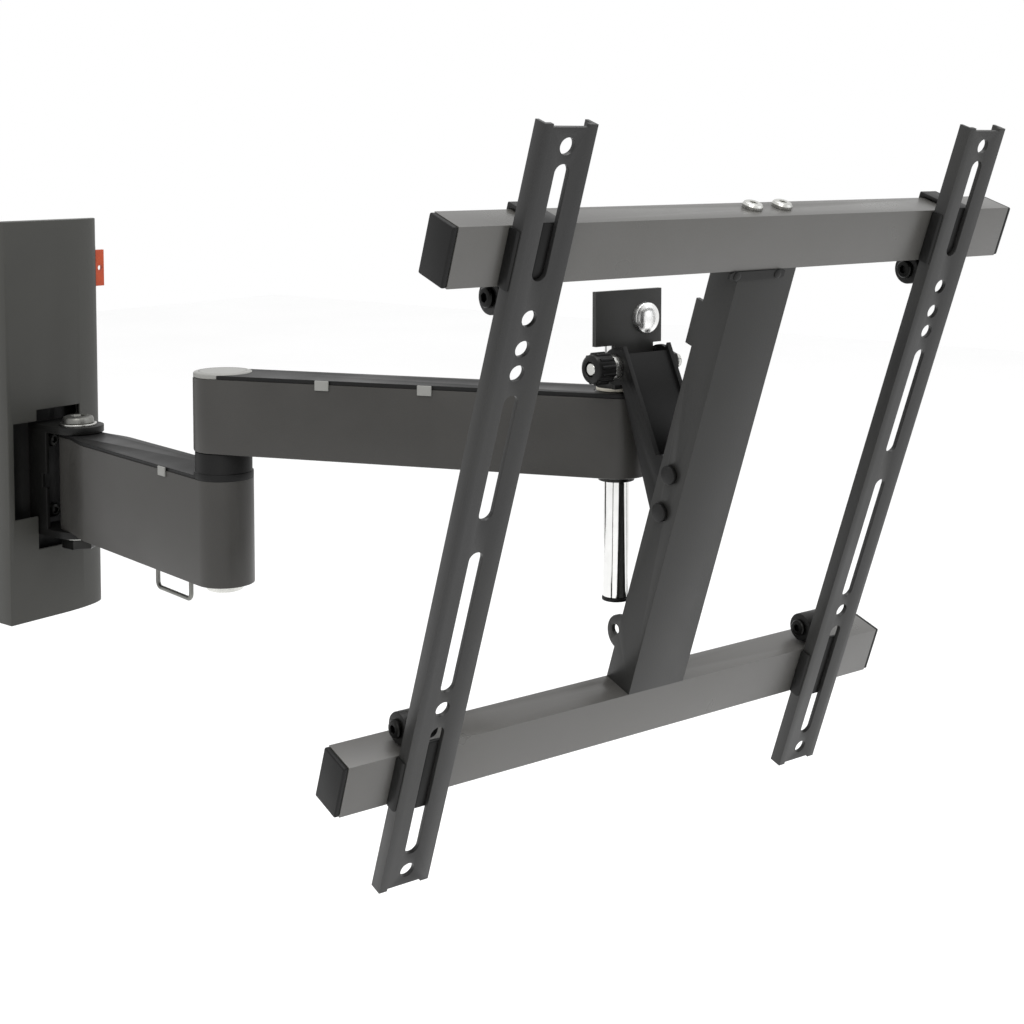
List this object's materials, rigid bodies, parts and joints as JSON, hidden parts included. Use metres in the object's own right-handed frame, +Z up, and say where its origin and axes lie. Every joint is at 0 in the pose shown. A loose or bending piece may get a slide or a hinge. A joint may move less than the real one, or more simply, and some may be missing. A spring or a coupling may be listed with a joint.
{
  "type": "full motion television wall mount",
  "caption": "Wall plate with cover, a double swing arm, and a swivelling, tilting frame of bars and sliding slotted strips that holds a television.",
  "frame": {"origin": "centre of the wall unit's back face, in the wall plane", "axes": "+Z up, +Y into the wall, so the mount reaches towards -Y; +X to the right for a person who faces the wall"},
  "size_m": [0.4216, 0.6563, 0.4006],
  "materials": {
    "powder_coat_grey": "satin powder coat, charcoal grey",
    "powder_coat_black": "satin powder coat, black",
    "cover_plastic": "fine-textured moulded cover",
    "black_plastic": "moulded black plastic",
    "orange_plastic": "moulded orange-red plastic",
    "vial_green": "clear green fluid vial",
    "zinc_steel": "bright zinc-plated steel",
    "dark_steel": "black-oxide steel",
    "chrome_tube": "polished chrome plate",
    "bush_plastic": "acetal bush",
    "grey_clip": "light grey moulded clip"
  },
  "bodies": {
    "wall_unit": {"wall_back_plate": "powder_coat_black", "wall_cover": "cover_plastic", "hinge_bracket": "powder_coat_black", "hinge_bracket_bolts": "dark_steel", "wall_pivot_bolt": "zinc_steel", "wall_pivot_nut": "dark_steel", "wall_pivot_washers": "zinc_steel"},
    "spirit_level": {"level_insert": "orange_plastic", "level_vial": "vial_green"},
    "lower_arm": {"lower_arm_beam": "powder_coat_grey", "lower_arm_lid": "black_plastic", "lower_arm_lid_clips": "grey_clip", "lower_arm_bushes": "bush_plastic", "elbow_pin": "zinc_steel", "elbow_collar": "black_plastic", "elbow_foot_nut": "zinc_steel", "cable_loop_saddle": "black_plastic"},
    "wire_loop": {"cable_loop": "zinc_steel"},
    "upper_arm": {"upper_arm_beam": "powder_coat_grey", "upper_arm_lid": "black_plastic", "upper_arm_lid_clips": "grey_clip", "elbow_bushes": "bush_plastic", "elbow_top_cap": "grey_clip", "post_bushes": "bush_plastic"},
    "head": {"swivel_post": "chrome_tube", "head_bracket": "powder_coat_black", "stop_disc": "zinc_steel", "head_thrust_washer": "bush_plastic", "post_retaining_ring": "dark_steel", "post_end_cap": "black_plastic"},
    "tilting_frame": {"tilt_bracket": "powder_coat_black", "tilt_bolt": "zinc_steel", "tilt_nut": "dark_steel", "tilt_spacers": "zinc_steel", "spine_channel": "powder_coat_grey", "top_bar": "powder_coat_grey", "bottom_bar": "powder_coat_grey", "bar_end_caps": "black_plastic", "bar_bolts": "zinc_steel", "bar_nuts": "dark_steel", "brace_bolts": "dark_steel"},
    "knob": {"tilt_knob": "black_plastic"},
    "left_tv_strip": {"left_strip": "powder_coat_grey", "left_hooks": "powder_coat_black", "left_jaws": "black_plastic", "left_lock_screws": "zinc_steel", "left_rivets": "dark_steel"},
    "right_tv_strip": {"right_strip": "powder_coat_grey", "right_hooks": "powder_coat_black", "right_jaws": "black_plastic", "right_lock_screws": "zinc_steel", "right_rivets": "dark_steel"}
  },
  "joints": [
    {"name": "wall_swivel", "type": "hinge", "parent": "wall_unit", "child": "lower_arm", "pos_m": [0, -0.037, -0.0766], "axis": [0, 0, 1], "range_deg": [-70, 65]},
    {"name": "elbow_swivel", "type": "hinge", "parent": "lower_arm", "child": "upper_arm", "pos_m": [-0.04027, -0.23494, 0], "axis": [0, 0, -1], "range_deg": [-80, 110]},
    {"name": "head_swivel", "type": "hinge", "parent": "upper_arm", "child": "head", "pos_m": [0.0466, -0.47363, 0], "axis": [0, 0, 1], "range_deg": [-55, 125]},
    {"name": "frame_tilt", "type": "hinge", "parent": "head", "child": "tilting_frame", "pos_m": [0.04685, -0.48915, 0.0724], "axis": [-0.9703, 0.2419, 0], "range_deg": [-1, 19]},
    {"name": "knob_turn", "type": "hinge", "parent": "tilting_frame", "child": "knob", "pos_m": [0.04685, -0.48915, 0.0724], "axis": [0.9703, -0.2419, 0], "range_deg": [0, 180]},
    {"name": "left_strip_slide", "type": "slide", "parent": "tilting_frame", "child": "left_tv_strip", "axis": [-0.9703, 0.2419, 0], "range_m": [-0.09, 0.024]},
    {"name": "right_strip_slide", "type": "slide", "parent": "tilting_frame", "child": "right_tv_strip", "axis": [0.9703, -0.2419, 0], "range_m": [-0.09, 0.028]},
    {"name": "level_slide", "type": "slide", "parent": "wall_unit", "child": "spirit_level", "axis": [1, 0, 0], "range_m": [0, 0.025]},
    {"name": "loop_swing", "type": "hinge", "parent": "lower_arm", "child": "wire_loop", "pos_m": [-0.02731, -0.17125, -0.0801], "axis": [-0.1994, -0.9799, 0], "range_deg": [-75, 75]}
  ]
}
